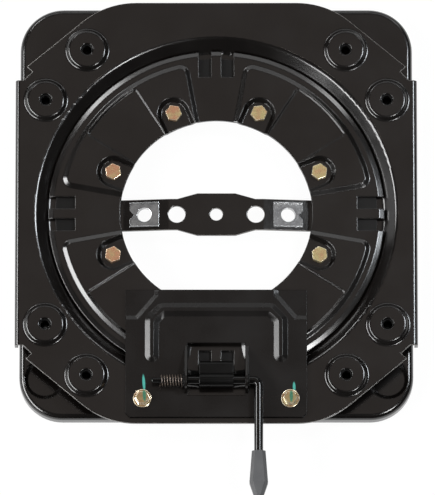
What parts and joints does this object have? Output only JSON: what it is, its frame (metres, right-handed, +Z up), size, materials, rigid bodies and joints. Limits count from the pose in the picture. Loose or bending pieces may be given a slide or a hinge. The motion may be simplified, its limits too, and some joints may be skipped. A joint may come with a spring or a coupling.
{
  "type": "swivel seat base",
  "caption": "Black pressed-steel swivel base for a camper seat: a base tray, a turning plate with fixing bosses, a clamp disc with lock notches and a sprung lever latch.",
  "frame": {"origin": "on the swivel axis, at the level that the base stands on", "axes": "+Z up along the swivel axis, the lever points along -Y, +X to the right seen from the lever"},
  "size_m": [0.36, 0.457, 0.0495],
  "materials": {
    "black_paint": "satin",
    "yellow_zinc": "satin",
    "bright_zinc": "satin",
    "spring_steel": "satin",
    "dark_steel": "satin",
    "slide_plastic": "matte",
    "grip_plastic": "satin"
  },
  "bodies": {
    "base": {"base_plate": "black_paint", "lower_slide_ring": "slide_plastic", "upper_slide_ring": "slide_plastic", "index_disc": "black_paint", "disc_bolts": "yellow_zinc", "disc_nuts": "bright_zinc", "centre_bar": "black_paint", "bar_rivets": "black_paint", "clip_nuts": "bright_zinc"},
    "seat_plate": {"top_plate": "black_paint", "seat_nuts": "black_paint", "latch_bracket": "black_paint", "bracket_bolts": "yellow_zinc", "bracket_nuts": "bright_zinc", "left_bush": "slide_plastic", "right_bush": "slide_plastic", "latch_spring": "spring_steel"},
    "latch": {"lever_rod": "dark_steel", "pawl": "dark_steel", "lever_grip": "grip_plastic"}
  },
  "joints": [
    {"name": "swivel", "type": "hinge", "parent": "base", "child": "seat_plate", "pos_m": [0, 0, 0], "axis": [0, 0, 1], "continuous": true},
    {"name": "latch_lever", "type": "hinge", "parent": "seat_plate", "child": "latch", "pos_m": [0, -0.15702, 0.041], "axis": [-1, 0, 0], "range_deg": [0, 17]}
  ]
}
